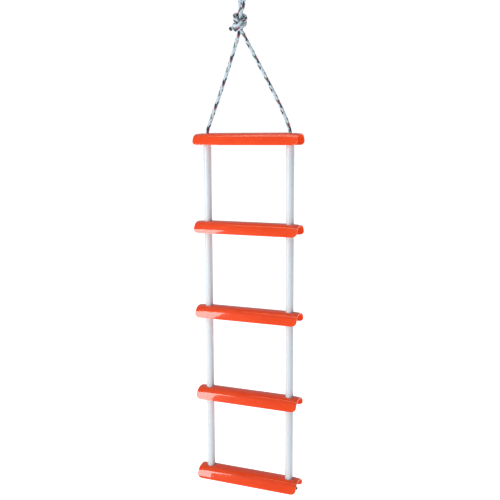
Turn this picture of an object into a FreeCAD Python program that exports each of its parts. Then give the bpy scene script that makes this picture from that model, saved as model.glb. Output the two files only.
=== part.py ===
"""Escape rope ladder: five arched plastic rungs, spacer tubes and one knotted double rope.

Frame: millimetres, +Z up, rungs along X, treads facing up. The origin is the place where a hook
carries the ladder: the inside of the hanging loop, at its top.
"""
import FreeCAD, Part
import math
import os

V = FreeCAD.Vector

# Ladder
RUNG_COUNT = 5
RUNG_PITCH = 305.0          # tread to tread
ROPE_SPACING = 305.0        # between the two rope lines
TOP_RUNG_Z = -575.0         # the first rung's highest line
LADDER_X = 18.0             # the rungs' middle: the legs' lengths differ, so the loop is off centre

# Rung: an arched shell, open below
RUNG_LENGTH = 381.0
RUNG_HEIGHT = 42.0
RUNG_WALL = 3.0
CROWN_RADIUS = 70.0         # the nearly flat tread
SHOULDER_RADIUS = 30.0      # tread into side wall
CROWN_ANGLE = 14.0          # from the vertical, where the tread meets the shoulder
SIDE_ANGLE = 72.0           # from the vertical, where the shoulder meets the side wall
END_DROP = 3.0              # how much lower the tread lies at the rung's ends
DROP_START = 136.0          # from the middle to where the tread starts to go down
SKIRT_CORNER = 18.0         # rounded lower corners at the ends
TUBE_HOLE = 32.0            # in the tread, the upper tube stands through it
SEAT_DEPTH = 10.0           # from the tread down to the seat's top
SEAT_THICKNESS = 5.0
SEAT_LENGTH = 46.0          # along the rung

# Spacer tube
TUBE_OUTSIDE = 28.0
TUBE_WALL = 2.5

# Rope
ROPE_DIAMETER = 12.7
LOOP_MIDDLE = -36.0         # the height of the hanging loop's middle
LOOP_CORNER = 48.7          # from the loop's middle to the corners of its route
LOOP_TURN = 59.0            # between two neighbouring corners, seen from the middle
STRAND_OFFSET = 6.6         # each standing strand from the line between them
STRAND_TOP = -114.0         # where the strands part into the loop
LEG_TAPER_ANGLE = 21.0      # the legs' ends leave room for the first rung to tilt

# Top knot: an upright block with round edges
KNOT_X = -7.5
KNOT_BOTTOM = TOP_RUNG_Z + 335.0
KNOT_TOP = TOP_RUNG_Z + 396.0
KNOT_WIDTH = 56.0
KNOT_DEPTH = 40.0
KNOT_ROUNDING = 17.0
KNOT_LEAN = 8.0             # degrees in the ladder's plane

# Stopper knots below the last rung
STOPPER_DIAMETER = 36.0
STOPPER_HEIGHT = 34.0
STOPPER_ROUNDING = 14.0

SEAT_BOTTOM = SEAT_DEPTH + SEAT_THICKNESS
ROPE_RADIUS = ROPE_DIAMETER / 2
SIDES = (("left", -1), ("right", 1))

# Cord routes, as (x, z) in the ladder's plane, x from the rungs' middle and z from the first
# rung's highest line.
LEFT_LEG = [(-26, 350), (-29, 330), (-37, 306), (-83, 177), (-137, 44), (-152.5, 6), (-152.5, -10)]
RIGHT_LEG = [(-21, 350), (-15, 328), (-3, 304), (109, 106), (140, 40), (152.5, 7), (152.5, -10)]
# The top knot's short end, as (x, y, z), x and z from the same lines.
TOP_TAIL = [(-38, -7, 362), (-50, -10, 355), (-64, -11, 347)]
# Short ends of the stopper knots, x outwards from the rope line, z from the last rung's highest line.
STOPPER_TAIL = [(8, 2, -28), (17, 3, -32), (27, 3, -31)]


def rung_z(number):
    """The height of a rung's highest line, rungs numbered from 1 at the top."""
    return TOP_RUNG_Z - (number - 1) * RUNG_PITCH


def rope_x(side):
    """Where a rope line runs, side -1 on the left and 1 on the right."""
    return LADDER_X + side * ROPE_SPACING / 2


def polar(centre_y, centre_z, radius, degrees):
    """A point of an arc in the rung's section, the angle taken from straight up."""
    angle = math.radians(degrees)
    return centre_y + radius * math.sin(angle), centre_z + radius * math.cos(angle)


def arch_wire(x, inset, drop):
    """The rung's closed section at x, moved inwards by inset and down by drop, skirt edges kept."""
    crown_z = -CROWN_RADIUS - drop
    crown = CROWN_RADIUS - inset
    shoulder = SHOULDER_RADIUS - inset
    middle = polar(0, crown_z, CROWN_RADIUS - SHOULDER_RADIUS, CROWN_ANGLE)
    top = (0, crown_z + crown)
    seam = polar(0, crown_z, crown, CROWN_ANGLE)
    bend = polar(*middle, shoulder, (CROWN_ANGLE + SIDE_ANGLE) / 2)
    wall = polar(*middle, shoulder, SIDE_ANGLE)
    below = -RUNG_HEIGHT - (1.0 if inset else 0.0)
    foot = (wall[0] + (wall[1] - below) / math.tan(math.radians(SIDE_ANGLE)), below)

    def at(point, side):
        return V(x, side * point[0], point[1])

    edges = [
        Part.Arc(at(seam, -1), at(top, 1), at(seam, 1)),
        Part.Arc(at(seam, 1), at(bend, 1), at(wall, 1)),
        Part.LineSegment(at(wall, 1), at(foot, 1)),
        Part.LineSegment(at(foot, 1), at(foot, -1)),
        Part.LineSegment(at(foot, -1), at(wall, -1)),
        Part.Arc(at(wall, -1), at(bend, -1), at(seam, -1)),
    ]
    return Part.Wire([edge.toShape() for edge in edges])


def arch_body(inset, end):
    """The arch as a full solid: a straight middle and two end stretches whose tread goes down."""
    middle = Part.makeLoft([arch_wire(x, inset, 0) for x in (-DROP_START, DROP_START)], True, True)
    slope = END_DROP * (end - DROP_START) / (RUNG_LENGTH / 2 - DROP_START)
    for side in (-1, 1):
        wires = [arch_wire(side * DROP_START, inset, 0), arch_wire(side * end, inset, slope)]
        middle = middle.fuse(Part.makeLoft(wires, True, True))
    return middle.removeSplitter()


def end_outline():
    """A slab whose outline, seen from the front, rounds the lower corners at the rung's ends."""
    slab = across(RUNG_LENGTH, RUNG_HEIGHT + 1, -RUNG_HEIGHT)
    low = [edge for edge in slab.Edges if is_end_edge(edge, -RUNG_HEIGHT)]
    return slab.makeFillet(SKIRT_CORNER, low)


def across(length, height, bottom, x=0.0):
    """A block as wide as any rung and more, its middle at x."""
    return Part.makeBox(length, 2 * RUNG_LENGTH, height, V(x - length / 2, -RUNG_LENGTH, bottom))


def is_end_edge(edge, height):
    """Whether an edge runs across the rung at this height at one of its ends."""
    box = edge.BoundBox
    return box.YLength > RUNG_LENGTH and abs(box.ZMin - height) < 0.01 and box.ZLength < 0.01


def rung(number):
    """One moulded rung: shell, two seats for the tubes, two tube holes and two rope holes."""
    shell = arch_body(0, RUNG_LENGTH / 2).common(end_outline())
    hollow = arch_body(RUNG_WALL, RUNG_LENGTH / 2 + 1)
    body = shell.cut(hollow)
    for x in (-ROPE_SPACING / 2, ROPE_SPACING / 2):
        web = across(SEAT_LENGTH, SEAT_THICKNESS, -SEAT_BOTTOM, x)
        body = body.fuse(web.common(arch_body(RUNG_WALL / 2, RUNG_LENGTH / 2)))
    for x in (-ROPE_SPACING / 2, ROPE_SPACING / 2):
        hole = Part.makeCylinder(TUBE_HOLE / 2, SEAT_BOTTOM, V(x, 0, -SEAT_DEPTH))
        rope = Part.makeCylinder(ROPE_RADIUS, RUNG_HEIGHT, V(x, 0, -RUNG_HEIGHT))
        body = body.cut(hole).cut(rope)
    body = body.removeSplitter()
    body.translate(V(LADDER_X, 0, rung_z(number)))
    return body


def spacer_tube(number, side):
    """The tube from the seat of one rung down to the seat of the next."""
    top = rung_z(number) - SEAT_BOTTOM
    bottom = rung_z(number + 1) - SEAT_DEPTH
    base = V(rope_x(side), 0, bottom)
    outside = Part.makeCylinder(TUBE_OUTSIDE / 2, top - bottom, base)
    bore = Part.makeCylinder(TUBE_OUTSIDE / 2 - TUBE_WALL, top - bottom, base)
    return outside.cut(bore)


def rope_piece(side, top, bottom):
    """A straight, upright stretch of rope."""
    return Part.makeCylinder(ROPE_RADIUS, top - bottom, V(rope_x(side), 0, bottom))


def cord_tube(name, points):
    """Rope along straight runs joined by tangent arcs as large as the runs allow."""
    edges = []
    start = points[0]
    radii = []
    for before, corner, after in zip(points, points[1:], points[2:]):
        back = before - corner
        ahead = after - corner
        turn = math.pi - back.getAngle(ahead)
        reach = 0.45 * min(back.Length, ahead.Length)
        radii.append(reach / math.tan(turn / 2))
        first = corner + back.normalize() * reach
        last = corner + ahead.normalize() * reach
        inward = (back + ahead).normalize()
        middle = corner + inward * (radii[-1] / math.cos(turn / 2) - radii[-1])
        edges.append(Part.LineSegment(start, first).toShape())
        edges.append(Part.Arc(first, middle, last).toShape())
        start = last
    edges.append(Part.LineSegment(start, points[-1]).toShape())
    path = Part.Wire(edges)
    section = Part.Wire(Part.Circle(points[0], points[1] - points[0], ROPE_RADIUS).toShape())
    tube = path.makePipeShell([section], True, False)
    share = tube.Volume / (math.pi * ROPE_RADIUS ** 2 * path.Length)
    sizes = " ".join(f"{radius:.0f}" for radius in radii)
    print(f"{name}: length {path.Length:.0f}, radii {sizes}, volume share {share:.4f}")
    return tube


def loop_route():
    """The hanging loop: up one strand, round the eye and down the other strand."""
    eye = []
    for step in (-1.5, -0.5, 0.5, 1.5):
        angle = math.radians(90 + step * LOOP_TURN)
        eye.append((LOOP_CORNER * math.cos(angle), LOOP_MIDDLE + LOOP_CORNER * math.sin(angle)))
    inside = KNOT_TOP - 12
    up = [(STRAND_OFFSET, inside), (STRAND_OFFSET, STRAND_TOP)]
    down = [(-STRAND_OFFSET, STRAND_TOP), (-STRAND_OFFSET, inside)]
    return [V(x, 0, z) for x, z in up + eye + down]


def top_knot():
    """The outer shape of the knot that ties both ropes together."""
    height = KNOT_TOP - KNOT_BOTTOM
    corner = V(-KNOT_WIDTH / 2, -KNOT_DEPTH / 2, -height / 2)
    block = Part.makeBox(KNOT_WIDTH, KNOT_DEPTH, height, corner)
    block = block.makeFillet(KNOT_ROUNDING, block.Edges)
    block.rotate(V(0, 0, 0), V(0, 1, 0), KNOT_LEAN)
    block.translate(V(KNOT_X, 0, (KNOT_TOP + KNOT_BOTTOM) / 2))
    return block


def bridle_leg(name, points, side, knot):
    """A leg from the knot to the first rung's seat, where it ends in a flat cone."""
    route = [V(LADDER_X + x, 0, TOP_RUNG_Z + z) for x, z in points]
    tube = cord_tube(name, route).cut(knot)
    wide = 3 * ROPE_RADIUS
    rise = wide * math.tan(math.radians(LEG_TAPER_ANGLE))
    seat = V(rope_x(side), 0, TOP_RUNG_Z - SEAT_DEPTH)
    below = Part.makeCylinder(wide, rise, seat).cut(Part.makeCone(0, wide, rise, seat))
    return tube.cut(below)


def stopper_knot(side):
    """The outer shape of the knot that holds the last rung up."""
    top = rung_z(RUNG_COUNT) - SEAT_BOTTOM
    base = V(rope_x(side), 0, top - STOPPER_HEIGHT)
    block = Part.makeCylinder(STOPPER_DIAMETER / 2, STOPPER_HEIGHT, base)
    return block.makeFillet(STOPPER_ROUNDING, block.Edges)


def stopper_tail(name, side, knot):
    """The short cut end below a stopper knot."""
    last = rung_z(RUNG_COUNT)
    points = [V(rope_x(side) + side * out, y, last + z) for out, y, z in STOPPER_TAIL]
    return cord_tube(name, points).cut(knot)


def save(name, shape):
    """Check one sub-part and write it to its STEP file."""
    solids = shape.Solids
    assert len(solids) == 1 and shape.isValid(), f"{name}: {len(solids)} solids"
    solids[0].exportStep(f"parts/{name}.step")


def save_rope(knot):
    """Every stretch of the rope, from the loop down to the stopper knots."""
    save("hanging_loop", cord_tube("hanging_loop", loop_route()).cut(knot))
    save("top_knot", knot)
    tail = [V(LADDER_X + x, y, TOP_RUNG_Z + z) for x, y, z in TOP_TAIL]
    save("top_knot_tail", cord_tube("top_knot_tail", tail).cut(knot))
    save("left_bridle_leg", bridle_leg("left_bridle_leg", LEFT_LEG, -1, knot))
    save("right_bridle_leg", bridle_leg("right_bridle_leg", RIGHT_LEG, 1, knot))
    for name, side in SIDES:
        for number in range(1, RUNG_COUNT + 1):
            z = rung_z(number)
            save(f"{name}_rope_in_rung_{number}", rope_piece(side, z - SEAT_DEPTH, z - SEAT_BOTTOM))
        for number in range(1, RUNG_COUNT):
            below = rung_z(number + 1) - SEAT_DEPTH
            piece = rope_piece(side, rung_z(number) - SEAT_BOTTOM, below)
            save(f"{name}_rope_in_tube_{number}", piece)
        stopper = stopper_knot(side)
        save(f"{name}_stopper_knot", stopper)
        save(f"{name}_rope_end", stopper_tail(f"{name}_rope_end", side, stopper))


def main():
    os.makedirs("parts", exist_ok=True)
    for number in range(1, RUNG_COUNT + 1):
        save(f"rung_{number}", rung(number))
    for name, side in SIDES:
        for number in range(1, RUNG_COUNT):
            save(f"{name}_spacer_tube_{number}", spacer_tube(number, side))
    save_rope(top_knot())


main()
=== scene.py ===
import math

import bmesh
import bpy
import numpy as np
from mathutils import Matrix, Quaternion, Vector


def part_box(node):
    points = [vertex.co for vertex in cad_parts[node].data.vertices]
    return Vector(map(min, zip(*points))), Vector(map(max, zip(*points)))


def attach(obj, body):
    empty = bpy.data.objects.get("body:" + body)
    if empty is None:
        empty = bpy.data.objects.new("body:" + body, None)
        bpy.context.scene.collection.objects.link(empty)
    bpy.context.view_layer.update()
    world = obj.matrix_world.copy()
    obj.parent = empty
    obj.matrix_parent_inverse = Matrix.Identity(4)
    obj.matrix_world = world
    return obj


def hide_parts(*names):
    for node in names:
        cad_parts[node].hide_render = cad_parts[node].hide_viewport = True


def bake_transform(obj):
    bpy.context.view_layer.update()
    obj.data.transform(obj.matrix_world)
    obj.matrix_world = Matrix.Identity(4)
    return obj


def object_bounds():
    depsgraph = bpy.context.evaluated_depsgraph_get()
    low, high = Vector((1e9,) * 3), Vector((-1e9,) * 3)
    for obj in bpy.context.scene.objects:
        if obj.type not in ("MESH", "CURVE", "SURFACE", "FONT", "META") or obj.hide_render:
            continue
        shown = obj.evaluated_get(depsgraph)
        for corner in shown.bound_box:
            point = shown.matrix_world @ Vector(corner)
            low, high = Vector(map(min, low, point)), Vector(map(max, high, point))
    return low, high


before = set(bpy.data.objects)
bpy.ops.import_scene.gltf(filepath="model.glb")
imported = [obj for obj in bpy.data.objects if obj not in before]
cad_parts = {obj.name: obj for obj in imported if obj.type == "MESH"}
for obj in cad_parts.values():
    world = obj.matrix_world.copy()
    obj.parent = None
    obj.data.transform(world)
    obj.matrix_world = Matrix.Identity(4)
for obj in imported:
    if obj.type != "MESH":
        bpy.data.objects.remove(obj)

CAD_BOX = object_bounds()
MM = 0.001
RUNGS = sorted(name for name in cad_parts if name.startswith("rung_"))
GAPS = range(1, len(RUNGS))
SIDES = (("left", -1), ("right", 1))

# Places, read from the frame
FIRST_LOW, FIRST_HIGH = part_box(RUNGS[0])
MIDDLE_X = (FIRST_LOW.x + FIRST_HIGH.x) / 2
TOP_Z = FIRST_HIGH.z
RUNG_LENGTH = FIRST_HIGH.x - FIRST_LOW.x
RUNG_HEIGHT = FIRST_HIGH.z - FIRST_LOW.z
TUBE_LOW, TUBE_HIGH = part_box("left_spacer_tube_1")
TUBE_RADIUS = (TUBE_HIGH.x - TUBE_LOW.x) / 2
TUBE_LENGTH = TUBE_HIGH.z - TUBE_LOW.z
ROPE_X = MIDDLE_X - (TUBE_LOW.x + TUBE_HIGH.x) / 2
SEAT_BOTTOM = TOP_Z - TUBE_HIGH.z

# The rung's section, as in the CAD
CROWN_RADIUS = 70 * MM
SHOULDER_RADIUS = 30 * MM
CROWN_ANGLE = math.radians(14)
SIDE_ANGLE = math.radians(72)
SHOULDER_Y = (CROWN_RADIUS - SHOULDER_RADIUS) * math.sin(CROWN_ANGLE)     # the shoulder arc's middle
SHOULDER_Z = (CROWN_RADIUS - SHOULDER_RADIUS) * math.cos(CROWN_ANGLE) - CROWN_RADIUS
RUNG_WALL = 3 * MM
RIM_TILT = RUNG_WALL * math.cos(SIDE_ANGLE)   # a wall's inner rim lies this much under its outer one
WALL_BULGE = 0.6 * MM       # moulded walls are never quite flat
END_DROP = 3 * MM           # how much lower the tread lies at a rung's ends
DROP_START = 136 * MM
CORNER_LENGTH = 18 * MM     # the rounding of a wall's lower corner, along the rung
CORNER_HEIGHT = 14 * MM
TUBE_HOLE_RADIUS = 16 * MM
SEAT_DEPTH = 10 * MM

# The rung's mesh
WALL_SHARES = (0, 0.25, 0.5, 0.75)    # its lines on a wall, from the foot up
ARC_STEPS = 9                         # its cells across a shoulder
MIDDLE_STEPS = 30                     # its cells from the rung's middle to a tread hole's patch
END_STEPS = 9                         # and from there to the end
END_TURN = math.radians(70)           # how much its lines close up towards the ends
PATCH = 23 * MM                       # half the side of the square round a tread hole
PATCH_CELLS = 12
TREAD_RINGS = 5
SEAT_RINGS = 3
WELD = 0.02 * MM
EDGE_ROUND = 0.8 * MM
SHARP = math.radians(50)

# Spacer tubes
TUBE_WALL = 2.5 * MM
TUBE_ROUND = 0.7 * MM
TUBE_SIDES = 72
TUBE_CORNER_STEPS = 4

# Rope: two sets of yarns braided round a core
ROPE_DIAMETER = 12.7 * MM
YARN_SETS = 6               # yarns each way round
BRAID_LAY = 84 * MM         # one turn of a yarn
YARN_HALF_WIDTH = 2.65 * MM
YARN_HALF_THICK = 1.25 * MM
YARN_WAVE = 0.95 * MM       # over and under
YARN_SIDES = 8
YARN_SHIFT = 0.37           # keeps the threads of neighbouring yarns apart
CORE_RADIUS = 4.1 * MM
CORE_SIDES = 14
ROPE_STEP = 1.7 * MM
CURVE_STEPS = 24
NAVY_YARNS = ((1, 0), (-1, 3))        # the tracers: the yarn's way round and its number
RED_YARNS = ((1, 1),)
GREEN_YARNS = ((-1, 0),)


# ---------------------------------------------------------------- materials

def material(name):
    """An empty node material with its shader."""
    made = bpy.data.materials.new(name)
    made.use_nodes = True
    nodes = made.node_tree.nodes
    return made, nodes, made.node_tree.links, nodes["Principled BSDF"]


def noise(nodes, links, place, scale, detail, stretch=None):
    """A noise texture, stretched if asked."""
    texture = nodes.new("ShaderNodeTexNoise")
    texture.inputs["Scale"].default_value = scale
    texture.inputs["Detail"].default_value = detail
    source = place
    if stretch:
        mapping = nodes.new("ShaderNodeMapping")
        mapping.inputs["Scale"].default_value = stretch
        links.new(place, mapping.inputs["Vector"])
        source = mapping.outputs["Vector"]
    links.new(source, texture.inputs["Vector"])
    return texture.outputs["Fac"]


def ramp(nodes, links, value, stops):
    """A colour ramp over a value, its stops as (place, colour)."""
    node = nodes.new("ShaderNodeValToRGB")
    elements = node.color_ramp.elements
    for element, (place, colour) in zip(elements, (stops[0], stops[-1])):
        element.position = place
        element.color = (*colour, 1)
    for place, colour in stops[1:-1]:
        elements.new(place).color = (*colour, 1)
    links.new(value, node.inputs["Fac"])
    return node.outputs["Color"]


def spread(nodes, links, value, low, high):
    """A value from 0 to 1 mapped to a range."""
    node = nodes.new("ShaderNodeMapRange")
    node.inputs["To Min"].default_value = low
    node.inputs["To Max"].default_value = high
    links.new(value, node.inputs["Value"])
    return node.outputs["Result"]


def mixed(nodes, links, factor, first, second):
    """A colour socket mixed with a fixed colour by a factor's socket."""
    node = nodes.new("ShaderNodeMix")
    node.data_type = "RGBA"
    factor_input, first_input, second_input = node.inputs[0], node.inputs[6], node.inputs[7]
    links.new(factor, factor_input)
    links.new(first, first_input)
    second_input.default_value = (*second, 1)
    return node.outputs[2]


def bump(nodes, links, height, strength, distance, below=None):
    """A bump from a height, over another bump if given."""
    node = nodes.new("ShaderNodeBump")
    node.inputs["Strength"].default_value = strength
    node.inputs["Distance"].default_value = distance
    links.new(height, node.inputs["Height"])
    if below:
        links.new(below, node.inputs["Normal"])
    return node.outputs["Normal"]


def orange_plastic(name, coat, smoothest, roughest):
    """Injection-moulded plastic: faint flow marks, rubbed spots, shallow sinks and orange peel."""
    made, nodes, links, shader = material(name)
    place = nodes.new("ShaderNodeTexCoord").outputs["Object"]
    flow = noise(nodes, links, place, 9, 3, (1.0, 4.0, 2.5))
    colour = ramp(nodes, links, flow, [(0.30, (0.81, 0.056, 0.004)), (0.52, (0.86, 0.066, 0.006)),
                                       (0.72, (0.89, 0.080, 0.008))])
    rub = noise(nodes, links, place, 55, 6, (0.35, 1.6, 1.0))
    worn = ramp(nodes, links, rub, [(0.62, (0, 0, 0)), (0.78, (1, 1, 1))])
    colour = mixed(nodes, links, worn, colour, (0.88, 0.084, 0.016))
    links.new(colour, shader.inputs["Base Color"])
    haze = noise(nodes, links, place, 24, 5)
    links.new(spread(nodes, links, haze, smoothest, roughest), shader.inputs["Roughness"])
    peel = noise(nodes, links, place, 420, 2)
    sink = noise(nodes, links, place, 30, 2, (0.6, 1.4, 1.4))
    soft = bump(nodes, links, sink, 0.10, 0.002)
    links.new(bump(nodes, links, peel, 0.05, 0.0004, soft), shader.inputs["Normal"])
    shader.inputs["IOR"].default_value = 1.49
    shader.inputs["Specular IOR Level"].default_value = 0.10
    shader.inputs["Coat Weight"].default_value = coat
    shader.inputs["Coat Roughness"].default_value = 0.035
    shader.inputs["Subsurface Weight"].default_value = 0.06
    shader.inputs["Subsurface Radius"].default_value = (0.006, 0.0012, 0.0006)
    shader.inputs["Subsurface Scale"].default_value = 0.5
    return made


def white_plastic():
    """Extruded rigid plastic: fine draw lines along the tube, a cool cast and faint scuffs."""
    made, nodes, links, shader = material("white_plastic")
    place = nodes.new("ShaderNodeTexCoord").outputs["Object"]
    cast = noise(nodes, links, place, 5, 3)
    colour = ramp(nodes, links, cast, [(0.30, (0.600, 0.655, 0.690)), (0.70, (0.660, 0.705, 0.730))])
    scuff = noise(nodes, links, place, 70, 8, (1.0, 1.0, 0.12))
    marks = ramp(nodes, links, scuff, [(0.64, (0, 0, 0)), (0.80, (0.5, 0.5, 0.5))])
    colour = mixed(nodes, links, marks, colour, (0.58, 0.60, 0.64))
    links.new(colour, shader.inputs["Base Color"])
    haze = noise(nodes, links, place, 30, 4, (1.0, 1.0, 0.3))
    links.new(spread(nodes, links, haze, 0.26, 0.42), shader.inputs["Roughness"])
    lines = noise(nodes, links, place, 900, 2, (1.0, 1.0, 0.004))
    links.new(bump(nodes, links, lines, 0.12, 0.0003), shader.inputs["Normal"])
    shader.inputs["IOR"].default_value = 1.53
    shader.inputs["Subsurface Weight"].default_value = 0.12
    shader.inputs["Subsurface Radius"].default_value = (0.004, 0.004, 0.005)
    shader.inputs["Subsurface Scale"].default_value = 0.4
    return made


def yarn(name, dark, light):
    """Filament yarn: fine threads along it. The first texture coordinate runs along the yarn."""
    made, nodes, links, shader = material(name)
    place = nodes.new("ShaderNodeTexCoord").outputs["UV"]
    threads = noise(nodes, links, place, 1.0, 3, (60.0, 26.0, 1.0))
    broad = noise(nodes, links, place, 1.0, 2, (22.0, 2.0, 1.0))
    colour = ramp(nodes, links, threads, [(0.32, dark), (0.60, light)])
    links.new(mixed(nodes, links, spread(nodes, links, broad, 0.0, 0.35), colour, dark),
              shader.inputs["Base Color"])
    links.new(spread(nodes, links, threads, 0.62, 0.44), shader.inputs["Roughness"])
    links.new(bump(nodes, links, threads, 0.5, 0.0005), shader.inputs["Normal"])
    shader.inputs["Sheen Weight"].default_value = 0.25
    shader.inputs["Sheen Roughness"].default_value = 0.4
    return made


def sealed_end():
    """The rope's end where heat has melted the yarns into a dark crust."""
    made, nodes, links, shader = material("sealed_end")
    place = nodes.new("ShaderNodeTexCoord").outputs["Object"]
    crust = noise(nodes, links, place, 500, 5)
    links.new(ramp(nodes, links, crust, [(0.35, (0.006, 0.008, 0.014)), (0.70, (0.045, 0.050, 0.075))]),
              shader.inputs["Base Color"])
    links.new(spread(nodes, links, crust, 0.25, 0.6), shader.inputs["Roughness"])
    links.new(bump(nodes, links, crust, 0.6, 0.0008), shader.inputs["Normal"])
    return made


def floor_paint():
    """A matt pale floor that glows, so that no horizon shows."""
    made, nodes, links, shader = material("floor_paint")
    place = nodes.new("ShaderNodeTexCoord").outputs["Object"]
    grain = noise(nodes, links, place, 3, 2)
    links.new(ramp(nodes, links, grain, [(0.3, (0.60, 0.60, 0.60)), (0.7, (0.63, 0.63, 0.63))]),
              shader.inputs["Base Color"])
    shader.inputs["Roughness"].default_value = 0.8
    shader.inputs["Emission Color"].default_value = (1, 1, 1, 1)
    shader.inputs["Emission Strength"].default_value = 1.0
    return made


ORANGE = orange_plastic("orange_plastic", 1.0, 0.14, 0.24)
ORANGE_INSIDE = orange_plastic("orange_inside", 0.0, 0.38, 0.50)
WHITE = white_plastic()
SEALED = sealed_end()
YARN_MATERIALS = [
    yarn("white_yarn", (0.38, 0.47, 0.53), (0.59, 0.69, 0.745)),
    yarn("navy_yarn", (0.006, 0.010, 0.035), (0.020, 0.032, 0.085)),
    yarn("red_yarn", (0.13, 0.012, 0.028), (0.27, 0.035, 0.060)),
    yarn("green_yarn", (0.030, 0.110, 0.100), (0.075, 0.235, 0.200)),
]


# ---------------------------------------------------------------- mesh helpers

def add_object(name, data):
    """A new object in the scene, of a mesh, curve, light or camera."""
    made = bpy.data.objects.new(name, data)
    bpy.context.scene.collection.objects.link(made)
    return made


def mesh_of(name, vertices, faces, materials, indices=None, places=None):
    """A smooth mesh from vertices and faces, with a material index per face and a UV per vertex."""
    mesh = bpy.data.meshes.new(name)
    mesh.from_pydata([tuple(v) for v in vertices], [], faces)
    for each in materials:
        mesh.materials.append(each)
    mesh.polygons.foreach_set("use_smooth", [True] * len(mesh.polygons))
    if indices is not None:
        mesh.polygons.foreach_set("material_index", indices)
    if places is not None:
        corners = np.zeros(len(mesh.loops), np.int32)
        mesh.loops.foreach_get("vertex_index", corners)
        mesh.uv_layers.new(name="UVMap").data.foreach_set("uv", places[corners].ravel())
    mesh.update()
    return mesh


def with_modifiers(made, settings):
    """Apply modifiers, each as (type, {setting: value}), and keep the result as the object's mesh."""
    for kind, values in settings:
        modifier = made.modifiers.new(kind.lower(), kind)
        for key, value in values.items():
            setattr(modifier, key, value)
    bpy.context.view_layer.update()
    result = bpy.data.meshes.new_from_object(made.evaluated_get(bpy.context.evaluated_depsgraph_get()))
    made.modifiers.clear()
    made.data = result


# ---------------------------------------------------------------- rungs

def end_drop(x):
    """How much lower the tread lies towards a rung's ends."""
    along = max(0.0, abs(x) - DROP_START) / (RUNG_LENGTH / 2 - DROP_START)
    return END_DROP * along * along * (1.6 - 0.6 * along)


def foot_height(x):
    """The lower edge of the side walls, with rounded corners at the ends."""
    lowest = -RUNG_HEIGHT + RIM_TILT
    into = 1 + (abs(x) - RUNG_LENGTH / 2) / CORNER_LENGTH
    if into <= 0:
        return lowest
    return lowest + CORNER_HEIGHT * (1 - math.sqrt(max(0.0, 1 - into ** 2)))


def shoulder_point(angle):
    """A point (y, z) of the back shoulder's outer arc, the angle taken from straight up."""
    return SHOULDER_Y + SHOULDER_RADIUS * math.sin(angle), SHOULDER_Z + SHOULDER_RADIUS * math.cos(angle)


def tread_height(y):
    """The section's height over a point across the tread."""
    seam = CROWN_RADIUS * math.sin(CROWN_ANGLE)
    if abs(y) <= seam:
        return math.sqrt(CROWN_RADIUS ** 2 - y ** 2) - CROWN_RADIUS
    return SHOULDER_Z + math.sqrt(SHOULDER_RADIUS ** 2 - (abs(y) - SHOULDER_Y) ** 2)


def section_levels():
    """What each line along the rung follows, as (kind, value, side): a share, an angle or a y."""
    edge = math.asin((PATCH - SHOULDER_Y) / SHOULDER_RADIUS)
    rising = [("wall", share) for share in WALL_SHARES]
    rising += [("arc", SIDE_ANGLE + (edge - SIDE_ANGLE) * step / ARC_STEPS) for step in range(ARC_STEPS)]
    tread = [("tread", PATCH * (2 * step / PATCH_CELLS - 1)) for step in range(PATCH_CELLS + 1)]
    front = [(kind, value, -1) for kind, value in rising]
    back = [(kind, value, 1) for kind, value in reversed(rising)]
    return front + [(kind, y, 1) for kind, y in tread] + back


def shell_point(x, level):
    """A point of the rung's outer surface."""
    kind, value, side = level
    drop = end_drop(x)
    if kind == "tread":
        return x, value, tread_height(value) - drop
    if kind == "arc":
        y, z = shoulder_point(value)
        return x, side * y, z - drop
    y, z = shoulder_point(SIDE_ANGLE)
    z -= drop
    foot = foot_height(x)
    height = foot + (z - foot) * value
    share = (height + RUNG_HEIGHT) / (z + RUNG_HEIGHT)
    bulge = WALL_BULGE * 4 * share * (1 - share)
    return x, side * (y + (z - height) / math.tan(SIDE_ANGLE) + bulge), height


def stations():
    """Places along the rung: even in the middle, as the hole patches need, and dense at the ends."""
    inner = ROPE_X - PATCH
    outer = ROPE_X + PATCH
    right = [inner * step / MIDDLE_STEPS for step in range(MIDDLE_STEPS)]
    right += [inner + (outer - inner) * step / PATCH_CELLS for step in range(PATCH_CELLS)]
    for step in range(END_STEPS + 1):
        share = math.sin(END_TURN * step / END_STEPS) / math.sin(END_TURN)
        right.append(outer + (RUNG_LENGTH / 2 - outer) * share)
    return [-x for x in reversed(right[1:])] + right


def perimeter(cells):
    """The rim of a square of cells, as (x, y) from -1 to 1, in order round it."""
    side = [2 * step / cells - 1 for step in range(cells)]
    rim = [(t, -1.0) for t in side] + [(1.0, t) for t in side]
    return rim + [(-t, 1.0) for t in side] + [(-1.0, -t) for t in side]


def ring_patch(mesh, middle_x, half_y, radius, rings, height):
    """A sheet between a round hole and the four-sided patch round it; half_y and height are functions."""
    rim = perimeter(PATCH_CELLS)
    loops = []
    for ring in range(rings + 1):
        share = ring / rings
        loop = []
        for x, y in rim:
            angle = math.atan2(y, x)
            px = middle_x + radius * math.cos(angle) * (1 - share) + PATCH * x * share
            py = radius * math.sin(angle) * (1 - share) + half_y(px) * y * share
            loop.append(mesh.verts.new((px, py, height(px, py))))
        loops.append(loop)
    for inner, outer in zip(loops, loops[1:]):
        for here in range(len(rim)):
            there = (here + 1) % len(rim)
            mesh.faces.new((inner[here], outer[here], outer[there], inner[there]))
    return loops


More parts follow.
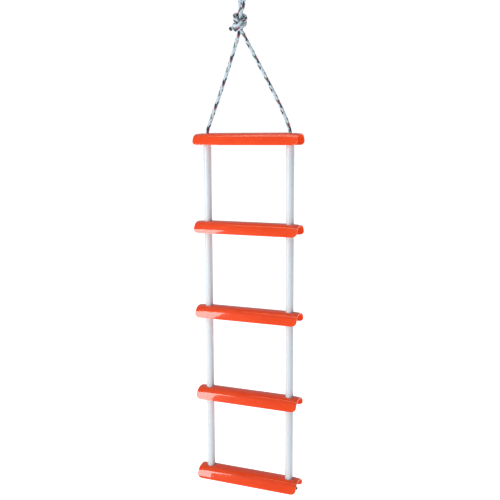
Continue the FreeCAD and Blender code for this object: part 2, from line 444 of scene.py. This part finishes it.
def rung_shell():
    """The arched shell with its two tread holes, as a sheet to thicken."""
    made = bmesh.new()
    places = stations()
    levels = section_levels()
    grid = [[made.verts.new(shell_point(x, level)) for level in levels] for x in places]
    for column, x in enumerate(places[:-1]):
        middle = (x + places[column + 1]) / 2
        for row in range(len(levels) - 1):
            on_tread = levels[row][0] == "tread" and levels[row + 1][0] == "tread"
            if on_tread and abs(abs(middle) - ROPE_X) < PATCH:
                continue
            corners = (grid[column][row], grid[column + 1][row],
                       grid[column + 1][row + 1], grid[column][row + 1])
            made.faces.new(corners)
    for side in (-1, 1):
        ring_patch(made, side * ROPE_X, lambda x: PATCH, TUBE_HOLE_RADIUS, TREAD_RINGS,
                   lambda x, y: tread_height(y) - end_drop(x))
    bmesh.ops.remove_doubles(made, verts=made.verts, dist=WELD)
    bmesh.ops.recalc_face_normals(made, faces=made.faces)
    mesh = bpy.data.meshes.new("rung_shell")
    made.to_mesh(mesh)
    made.free()
    return mesh


def wall_reach(x, z):
    """How far from the middle the wall's mid-thickness lies at a height in the shoulder."""
    rise = z + end_drop(x) - SHOULDER_Z
    return SHOULDER_Y + math.sqrt((SHOULDER_RADIUS - RUNG_WALL / 2) ** 2 - rise ** 2)


def seat_plate(made, middle_x):
    """A cross web under a tread hole, with the rope's hole: the tube below stands against it."""
    faces = []
    for z in (-SEAT_DEPTH, -SEAT_BOTTOM):
        faces.append(ring_patch(made, middle_x, lambda x: wall_reach(x, z), ROPE_DIAMETER / 2, SEAT_RINGS,
                                lambda x, y: z))
    upper, lower = faces
    for one, other in ((upper[0], lower[0]), (upper[-1], lower[-1])):
        for here in range(len(one)):
            there = (here + 1) % len(one)
            made.faces.new((one[here], other[here], other[there], one[there]))


def seat_plates():
    """Both of a rung's seats as one mesh."""
    made = bmesh.new()
    for side in (-1, 1):
        seat_plate(made, side * ROPE_X)
    bmesh.ops.recalc_face_normals(made, faces=made.faces)
    mesh = bpy.data.meshes.new("seat_plates")
    made.to_mesh(mesh)
    made.free()
    return mesh


def joined(name, objects, materials):
    """One smooth mesh from several objects, which are removed."""
    made = bmesh.new()
    for each in objects:
        made.from_mesh(each.data)
        bpy.data.objects.remove(each)
    for face in made.faces:
        face.smooth = True
    mesh = bpy.data.meshes.new(name)
    made.to_mesh(mesh)
    made.free()
    for each in materials:
        mesh.materials.append(each)
    return mesh


def rung_mesh():
    """A whole rung with rounded rims, its highest line at the origin."""
    plastics = (ORANGE, ORANGE_INSIDE)
    shell = add_object("rung_work", rung_shell())
    for plastic in plastics:
        shell.data.materials.append(plastic)
    seats = add_object("seat_work", seat_plates())
    thickening = {"thickness": RUNG_WALL, "offset": -1.0, "material_offset": 1}
    rounding = {"width": EDGE_ROUND, "segments": 3, "limit_method": "ANGLE", "angle_limit": SHARP}
    with_modifiers(shell, [("SOLIDIFY", thickening), ("BEVEL", rounding)])
    with_modifiers(seats, [("BEVEL", rounding)])
    return joined("rung", (shell, seats), plastics)


def build_rungs():
    """All rungs, which share one mesh."""
    mesh = rung_mesh()
    for name in RUNGS:
        made = add_object(name + "_moulding", mesh)
        made.location = (MIDDLE_X, 0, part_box(name)[1].z)
        made.modifiers.new("normals", "WEIGHTED_NORMAL").keep_sharp = True
        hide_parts(name)
        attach(made, name)


# ---------------------------------------------------------------- spacer tubes

def tube_mesh():
    """A tube with softly rounded rims, its lower end at the origin."""
    outer = TUBE_RADIUS - TUBE_ROUND
    inner = TUBE_RADIUS - TUBE_WALL + TUBE_ROUND
    low, high = TUBE_ROUND, TUBE_LENGTH - TUBE_ROUND
    profile = []
    corners = ((outer, low, -90), (outer, high, 0), (inner, high, 90), (inner, low, 180))
    for radius, height, start in corners:
        for step in range(TUBE_CORNER_STEPS + 1):
            angle = math.radians(start + 90 * step / TUBE_CORNER_STEPS)
            profile.append((radius + TUBE_ROUND * math.cos(angle), height + TUBE_ROUND * math.sin(angle)))
    vertices = []
    for turn in range(TUBE_SIDES):
        angle = 2 * math.pi * turn / TUBE_SIDES
        vertices += [(r * math.cos(angle), r * math.sin(angle), z) for r, z in profile]
    size = len(profile)
    faces = []
    for turn in range(TUBE_SIDES):
        here = turn * size
        there = (turn + 1) % TUBE_SIDES * size
        for step in range(size):
            after = (step + 1) % size
            faces.append((here + step, there + step, there + after, here + after))
    return mesh_of("spacer_tube", vertices, faces, [WHITE])


def build_tubes():
    """All spacer tubes, which share one mesh."""
    mesh = tube_mesh()
    for name, side in SIDES:
        for gap in GAPS:
            node = f"{name}_spacer_tube_{gap}"
            made = add_object(f"{node}_extrusion", mesh)
            made.location = (MIDDLE_X + side * ROPE_X, 0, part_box(node)[0].z)
            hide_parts(node)
            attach(made, f"{name}_tube_{gap}")


# ---------------------------------------------------------------- rope

def route_points(name, route):
    """Points along the smooth line of a route."""
    curve = bpy.data.curves.new(name, "CURVE")
    curve.dimensions = "3D"
    curve.resolution_u = CURVE_STEPS
    spline = curve.splines.new("NURBS")
    spline.points.add(len(route) - 1)
    for point, place in zip(spline.points, route):
        point.co = (*place, 1)
    spline.order_u = 3
    spline.use_endpoint_u = True
    holder = add_object(name, curve)
    line = bpy.data.meshes.new_from_object(holder)
    points = np.array([vertex.co[:] for vertex in line.vertices])
    bpy.data.objects.remove(holder)
    return points


def evenly(points, step):
    """The same line with points a step apart, and how far along each lies."""
    parts = np.linalg.norm(np.diff(points, axis=0), axis=1)
    keep = np.concatenate(([True], parts > 1e-9))
    points = points[keep]
    along = np.concatenate(([0], np.cumsum(np.linalg.norm(np.diff(points, axis=0), axis=1))))
    count = max(3, int(round(along[-1] / step)) + 1)
    wanted = np.linspace(0, along[-1], count)
    return np.stack([np.interp(wanted, along, points[:, axis]) for axis in range(3)], axis=1), wanted


def frames(points):
    """Two directions across a line that don't twist along it."""
    tangents = np.gradient(points, axis=0)
    tangents /= np.linalg.norm(tangents, axis=1)[:, None]
    across = np.zeros_like(tangents)
    first = np.cross(tangents[0], (0.0, 1.0, 0.0))
    if np.linalg.norm(first) < 0.1:
        first = np.cross(tangents[0], (1.0, 0.0, 0.0))
    across[0] = first / np.linalg.norm(first)
    for here in range(1, len(points)):
        moved = across[here - 1] - tangents[here] * np.dot(across[here - 1], tangents[here])
        across[here] = moved / np.linalg.norm(moved)
    return across, np.cross(tangents, across)


def strip(centres, one, other, half_one, half_other, sides, along, base):
    """One closed tube round a line of centres: vertices, faces and UVs."""
    angles = 2 * np.pi * np.arange(sides) / sides
    ring = (one[:, None, :] * (half_one * np.cos(angles))[None, :, None]
            + other[:, None, :] * (half_other * np.sin(angles))[None, :, None])
    vertices = (centres[:, None, :] + ring).reshape(-1, 3)
    count = len(centres)
    here = np.arange((count - 1) * sides).reshape(-1, sides)
    after = (np.arange(sides) + 1) % sides + here[:, :1]
    faces = np.stack([here, after, after + sides, here + sides], axis=2).reshape(-1, 4) + base
    last = base + (count - 1) * sides
    ends = [list(range(base, base + sides))[::-1], list(range(last, last + sides))]
    places = np.stack([np.repeat(along, sides), np.tile(np.arange(sides) / sides, count)], axis=1)
    return vertices, faces.tolist() + ends, places


def yarn_material(way, number):
    """A yarn's place in YARN_MATERIALS."""
    if (way, number) in NAVY_YARNS:
        return 1
    if (way, number) in RED_YARNS:
        return 2
    if (way, number) in GREEN_YARNS:
        return 3
    return 0


def yarn_line(line, across, up, travel, way, number):
    """A yarn's middle line, which waves over and under the other set, and its two directions across."""
    angle = 2 * np.pi * (way * travel + number / YARN_SETS)
    shift = 0.5 if way == 1 else 2.5          # one set is over where the other is under
    wave = np.cos(np.pi / 2 * (way * 2 * YARN_SETS * travel + 2 * number - shift))
    radius = ROPE_DIAMETER / 2 - YARN_HALF_THICK - YARN_WAVE + YARN_WAVE * wave
    outward = across * np.cos(angle)[:, None] + up * np.sin(angle)[:, None]
    centres = line + outward * radius[:, None]
    heading = np.gradient(centres, axis=0)
    heading /= np.linalg.norm(heading, axis=1)[:, None]
    sideways = np.cross(heading, outward)
    sideways /= np.linalg.norm(sideways, axis=1)[:, None]
    return centres, sideways, np.cross(sideways, heading)


def braid(name, points, start=0.0, step=ROPE_STEP):
    """A braided rope along a line: a core and two sets of yarns. The line comes back with even steps."""
    line, along = evenly(points, step)
    across, up = frames(line)
    vertices, faces, places = strip(line, across, up, CORE_RADIUS, CORE_RADIUS, CORE_SIDES, along, 0)
    all_vertices, all_places, all_faces, indices = [vertices], [places], faces, [0] * len(faces)
    count = len(vertices)
    travel = (along + start) / BRAID_LAY
    for way in (1, -1):
        for number in range(YARN_SETS):
            centres, sideways, lift = yarn_line(line, across, up, travel, way, number)
            vertices, faces, places = strip(centres, sideways, lift, YARN_HALF_WIDTH, YARN_HALF_THICK,
                                            YARN_SIDES, along + YARN_SHIFT * number, count)
            all_vertices.append(vertices)
            all_places.append(places)
            all_faces += faces
            indices += [yarn_material(way, number)] * len(faces)
            count += len(vertices)
    mesh = mesh_of(name, np.concatenate(all_vertices), all_faces, YARN_MATERIALS,
                   indices, np.concatenate(all_places))
    return mesh, line


def from_rung(number, points):
    """Route points (x, z) or (x, y, z) in mm from a rung's middle and highest line, in metres."""
    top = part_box(f"rung_{number}")[1].z
    return [(MIDDLE_X + p[0] * MM, (p[1] if len(p) == 3 else 0) * MM, top + p[-1] * MM) for p in points]


# The rope's route in mm: x from the rungs' middle, z from the first rung's highest line.
LEFT_LEG = [(-152.5, -10), (-152.5, 6), (-137, 44), (-83, 177), (-37, 306), (-29, 330)]
RIGHT_LEG = [(-15, 328), (-3, 304), (109, 106), (140, 40), (152.5, 7), (152.5, -10)]
TOP_TAIL = [(-36, 6, 360), (-48, 3, 351), (-60, -3, 343)]
TAIL_START = 20 * MM        # how far on in the braid's pattern the tail begins
# The stopper knot's rope in mm: x outwards from the rope hole, y back, z from the last rung's highest line.
STOPPER_ROUTE = [(0, 0, -13), (0, 0, -25), (8, -1, -31), (13, 4, -38), (9, 13, -44), (-3, 15, -50),
                 (-13, 9, -47), (-13, -1, -42), (-6, -12, -35), (5, -15, -27), (15, -8, -22), (15, 5, -22),
                 (8, 14, -28), (-1, 11, -36), (-1, 2, -42), (1, -3, -51), (11, -4, -53), (20, -2, -44),
                 (27, 1, -34)]
TIP_RADIUS = 6.9 * MM
TIP_LENGTH = 9 * MM
TIP_LEAST = 0.02 * MM       # keeps its last ring open
TIP_SIDES = 28
TIP_RINGS = 9
# A fold draws the rope out at a tube's end. At rest that rope is pressed into a short zone there.
FOLD_DRAWN = 50 * MM        # its length when drawn out
FOLD_IN_SEAT = 2 * MM       # how far its zone reaches into the seat beside the tube's end
UPPER_FOLD_IN_TUBE = 1.5 * MM
LOWER_FOLD_IN_TUBE = 8 * MM
FOLD_STEPS = 60
CAPTIVE_STEP = 2.4 * MM
# The two passes through the knot, an overhand knot tied in both strands at once, in mm from its middle.
KNOT_MIDDLE = (-25.5, 365.5)
KNOT_TURN = math.radians(130)
FIRST_PASS = [(7, 0, -28), (5, 3, -13), (3, 12, -1), (13, 15, 8), (25, 7, 14), (25, -9, 15), (11, -19, 8),
              (-6, -17, -6), (-20, -4, -18), (-19, 12, -26), (-4, 19, -29), (14, 15, -23), (17, 0, -12),
              (6, -1, -1), (-6, 0, 14), (-7, 0, 28)]
SECOND_PASS = [(7, 0, 28), (7, 0, 17), (12, -1, 10), (19, 6, -1), (15, 19, -12), (-4, 22, -16),
               (-20, 15, -14), (-21, 2, -6), (-13, -15, 5), (3, -21, 18), (21, -13, 27), (22, 8, 26),
               (8, 20, 18), (-8, 15, 4), (-8, 3, -10), (-6, 0, -28)]
# The hanging loop in mm, x and z from the hook's place.
STRAND_OFFSET = 6.6
STRAND_TOP = -114
STRAND_FOOT = -157
LOOP_MIDDLE = -36
LOOP_CORNER = 48.7
LOOP_TURN = 59              # degrees from one corner of its route to the next


def knot_route(points):
    """Points of a pass through the knot, turned about its upright line, in metres."""
    x, z = KNOT_MIDDLE
    cosine, sine = math.cos(KNOT_TURN), math.sin(KNOT_TURN)
    turned = [(px * cosine - py * sine, px * sine + py * cosine, pz) for px, py, pz in points]
    return [(MIDDLE_X + (x + px) * MM, py * MM, TOP_Z + (z + pz) * MM) for px, py, pz in turned]


def loop_route():
    """Up the right strand, round the eye and down the left one."""
    places = [(STRAND_OFFSET, STRAND_FOOT), (STRAND_OFFSET, STRAND_TOP)]
    for step in (-1.5, -0.5, 0.5, 1.5):
        angle = math.radians(90 + step * LOOP_TURN)
        places.append((LOOP_CORNER * math.cos(angle), LOOP_MIDDLE + LOOP_CORNER * math.sin(angle)))
    places += [(-STRAND_OFFSET, STRAND_TOP), (-STRAND_OFFSET, STRAND_FOOT)]
    return [(x * MM, 0, z * MM) for x, z in places]


def main_route():
    """The whole hanging rope from the left rope hole to the right one."""
    rising = from_rung(1, LEFT_LEG) + knot_route(FIRST_PASS)
    return rising + loop_route() + knot_route(SECOND_PASS) + from_rung(1, RIGHT_LEG)


def build_hanging_rope():
    """The bridle: both legs, the knot and the loop, one length of rope."""
    route = main_route()
    mesh, line = braid("hanging_rope", route_points("rope_route", route))
    made = add_object("hanging_rope", mesh)
    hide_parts("hanging_loop", "top_knot", "left_bridle_leg", "right_bridle_leg")
    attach(made, "bridle")
    tail = build_tail()


def sealed_tip(name, end, before):
    """A blunt, lumpy cap of melted yarn over a cut end."""
    turn = Vector((0, 0, 1)).rotation_difference(Vector(end) - Vector(before))
    vertices = []
    for ring in range(TIP_RINGS):
        share = ring / (TIP_RINGS - 1)
        for side in range(TIP_SIDES):
            angle = 2 * math.pi * side / TIP_SIDES
            lump = 1 + 0.035 * math.sin(3 * angle + 9 * share) + 0.02 * math.sin(7 * angle - 5 * share)
            radius = TIP_RADIUS * lump * math.sqrt(max(0.0, 1 - share ** 4)) + TIP_LEAST
            along = TIP_LENGTH * (share - 0.5)
            vertices.append(turn @ Vector((radius * math.cos(angle), radius * math.sin(angle), along)))
    faces = [tuple(reversed(range(TIP_SIDES)))]
    for ring in range(TIP_RINGS - 1):
        for side in range(TIP_SIDES):
            here = ring * TIP_SIDES + side
            after = ring * TIP_SIDES + (side + 1) % TIP_SIDES
            faces.append((here, after, after + TIP_SIDES, here + TIP_SIDES))
    faces.append(tuple(range((TIP_RINGS - 1) * TIP_SIDES, TIP_RINGS * TIP_SIDES)))
    made = add_object(name, mesh_of(name, vertices, faces, [SEALED]))
    made.location = end
    with_modifiers(made, [("SUBSURF", {"levels": 1, "render_levels": 1})])
    return made


def build_tail():
    """The knot's short cut end."""
    points = route_points("tail_route", from_rung(1, TOP_TAIL))
    mesh, line = braid("top_knot_tail_rope", points, start=TAIL_START)
    made = add_object("top_knot_tail_rope", mesh)
    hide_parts("top_knot_tail")
    tip = sealed_tip("top_knot_tail_tip", line[-1], line[-3])
    for piece in (made, tip):
        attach(piece, "bridle")
    return [made, tip]


def build_stoppers():
    """The rope's lower ends: through the last rung, into a knot and out to a sealed end."""
    last = len(RUNGS)
    for name, side in SIDES:
        route = [(side * (ROPE_X / MM + out), y, z) for out, y, z in STOPPER_ROUTE]
        points = route_points(f"{name}_stopper_route", from_rung(last, route))
        mesh, line = braid(f"{name}_stopper_rope", points)
        made = add_object(f"{name}_stopper_rope", mesh)
        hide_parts(f"{name}_rope_in_rung_{last}", f"{name}_stopper_knot", f"{name}_rope_end")
        tip = sealed_tip(f"{name}_rope_tip", line[-1], line[-3])
        for piece in (made, tip):
            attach(piece, RUNGS[-1])


def captive_rope(name, top, bottom, fold_top, fold_bottom):
    """A straight braid, pressed together between two heights where a fold will draw it out."""
    fold = fold_top - fold_bottom
    above, below = top - fold_top, fold_bottom - bottom
    straight = np.array([(0, 0, 0), (0, 0, -(above + FOLD_DRAWN + below))])
    mesh = braid(name, straight, step=CAPTIVE_STEP)[0]
    rest = np.linspace(0, 1, FOLD_STEPS)
    turned = rest * rest * (3 - 2 * rest)
    stretch = FOLD_DRAWN / fold - 1
    bent = (rest + stretch * turned) / (1 + stretch)
    depths = np.concatenate(([0], above + bent * FOLD_DRAWN, [above + FOLD_DRAWN + below]))
    places = np.concatenate(([0], above + rest * fold, [above + fold + below]))
    corners = np.zeros(len(mesh.vertices) * 3, np.float32)
    mesh.vertices.foreach_get("co", corners)
    corners = corners.reshape(-1, 3)
    corners[:, 2] = top - np.interp(-corners[:, 2], depths, places)
    mesh.vertices.foreach_set("co", corners.ravel())
    mesh.update()
    return mesh


def build_captive_ropes():
    """The rope inside the tubes, an upper and a lower piece in each, pressed together where the ladder
    folds.
    """
    seat_top, seat_low = -SEAT_DEPTH, -SEAT_BOTTOM
    pitch = TOP_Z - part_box(RUNGS[1])[1].z
    split = -pitch / 2
    in_hole = (seat_top + seat_low) / 2
    tube_end = -pitch + seat_top
    upper_zone = (seat_low + FOLD_IN_SEAT, seat_low - UPPER_FOLD_IN_TUBE)
    lower_zone = (tube_end + LOWER_FOLD_IN_TUBE, tube_end - FOLD_IN_SEAT)
    upper = captive_rope("captive_upper", in_hole, split, *upper_zone)
    lower = captive_rope("captive_lower", split, in_hole - pitch, *lower_zone)
    for name, side in SIDES:
        for gap in GAPS:
            above, below = RUNGS[gap - 1], RUNGS[gap]
            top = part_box(above)[1].z
            x = MIDDLE_X + side * ROPE_X
            first = add_object(f"{name}_rope_{gap}_upper", upper.copy())
            second = add_object(f"{name}_rope_{gap}_lower", lower.copy())
            for piece in (first, second):
                piece.location = (x, 0, top)
            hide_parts(f"{name}_rope_in_rung_{gap}", f"{name}_rope_in_tube_{gap}")
            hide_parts(f"{name}_rope_in_tube_{gap}")
            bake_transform(first)
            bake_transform(second)


# ---------------------------------------------------------------- studio

FLOOR_GAP = 0.16            # the ladder hangs clear of the floor
FLOOR_HALF = 30
DAYLIGHT = [(0.10, (0.40, 0.40, 0.42)), (0.50, (0.30, 0.31, 0.34)), (0.90, (0.22, 0.26, 0.30))]
CAMERA_AZIMUTH = math.radians(22.16)
CAMERA_PITCH = math.radians(8.98)
CAMERA_ROLL = math.radians(-0.27)
CAMERA_DISTANCE = 2.50267
CAMERA_SHIFT = 0.00638      # its aim, to the right of the rungs' middle
CAMERA_DROP = 0.00778       # its height, under the first rung's highest line


def build_floor():
    """A pale floor below the ladder."""
    height = CAD_BOX[0].z - FLOOR_GAP
    corners = [(x * FLOOR_HALF, y * FLOOR_HALF, height) for x, y in ((-1, -1), (1, -1), (1, 1), (-1, 1))]
    floor = add_object("studio_floor", mesh_of("studio_floor", corners, [(0, 1, 2, 3)], [floor_paint()]))


def build_world():
    """Soft light from all round, brighter on the left, and a clean white behind the ladder."""
    world = bpy.data.worlds.new("studio")
    bpy.context.scene.world = world
    world.use_nodes = True
    nodes, links = world.node_tree.nodes, world.node_tree.links
    split = nodes.new("ShaderNodeSeparateXYZ")
    links.new(nodes.new("ShaderNodeTexCoord").outputs["Generated"], split.inputs["Vector"])
    leftness = nodes.new("ShaderNodeMapRange")
    leftness.inputs["From Min"].default_value = -1.0
    links.new(split.outputs["X"], leftness.inputs["Value"])
    soft = nodes["Background"]
    soft.inputs["Strength"].default_value = 1.0
    links.new(ramp(nodes, links, leftness.outputs["Result"], DAYLIGHT), soft.inputs["Color"])
    clean = nodes.new("ShaderNodeBackground")
    clean.inputs["Color"].default_value = (1.0, 1.0, 1.0, 1)
    clean.inputs["Strength"].default_value = 1.05
    mix = nodes.new("ShaderNodeMixShader")
    links.new(nodes.new("ShaderNodeLightPath").outputs["Is Camera Ray"], mix.inputs["Fac"])
    links.new(soft.outputs[0], mix.inputs[1])
    links.new(clean.outputs[0], mix.inputs[2])
    links.new(mix.outputs[0], nodes["World Output"].inputs["Surface"])


def area_light(name, azimuth, elevation, distance, size, power, colour, lean=0.0):
    """A soft light aimed at the ladder's middle. Azimuth 0 is in front, positive to the right."""
    light = bpy.data.lights.new(name, "AREA")
    light.shape = "RECTANGLE"
    light.size, light.size_y = size
    light.energy = power
    light.color = colour
    side, rise = math.radians(azimuth), math.radians(elevation)
    ahead = Vector((math.sin(side) * math.cos(rise), -math.cos(side) * math.cos(rise), math.sin(rise)))
    made = add_object(name, light)
    made.location = (CAD_BOX[0] + CAD_BOX[1]) / 2 + ahead * distance
    made.rotation_mode = "QUATERNION"
    made.rotation_quaternion = ahead.to_track_quat("Z", "Y") @ Quaternion((0, 0, 1), math.radians(lean))


def build_lights():
    """A tall softbox on the left, whose reflection marks the rungs, and weaker lights above and behind."""
    area_light("softbox", -34.5, 8, 3.1, (0.85, 2.3), 54, (1.0, 0.99, 0.98), lean=6.0)
    area_light("top", -20, 84, 2.4, (1.8, 1.2), 16, (1.0, 0.92, 0.78))
    area_light("back", 160, 20, 3.0, (1.6, 1.2), 14, (0.93, 0.96, 1.0))


def build_camera():
    """The camera in front and to the right, level with the first rung, and looking down a little."""
    camera = bpy.data.cameras.new("camera")
    camera.sensor_width = 36
    camera.lens = 52.4
    made = add_object("camera", camera)
    side, ahead = math.sin(CAMERA_AZIMUTH), math.cos(CAMERA_AZIMUTH)
    made.location = (MIDDLE_X + CAMERA_SHIFT + CAMERA_DISTANCE * side, -CAMERA_DISTANCE * ahead,
                     TOP_Z - CAMERA_DROP)
    level = math.cos(CAMERA_PITCH)
    look = Vector((-side * level, ahead * level, -math.sin(CAMERA_PITCH)))
    made.rotation_mode = "QUATERNION"
    made.rotation_quaternion = look.to_track_quat("-Z", "Y")
    made.rotation_mode = "XYZ"
    made.rotation_euler.rotate_axis("Z", CAMERA_ROLL)
    bpy.context.scene.camera = made


build_camera()
build_hanging_rope()
build_stoppers()
build_captive_ropes()
build_rungs()
build_tubes()
build_floor()
build_world()
build_lights()
bpy.context.scene.view_settings.view_transform = "Standard"
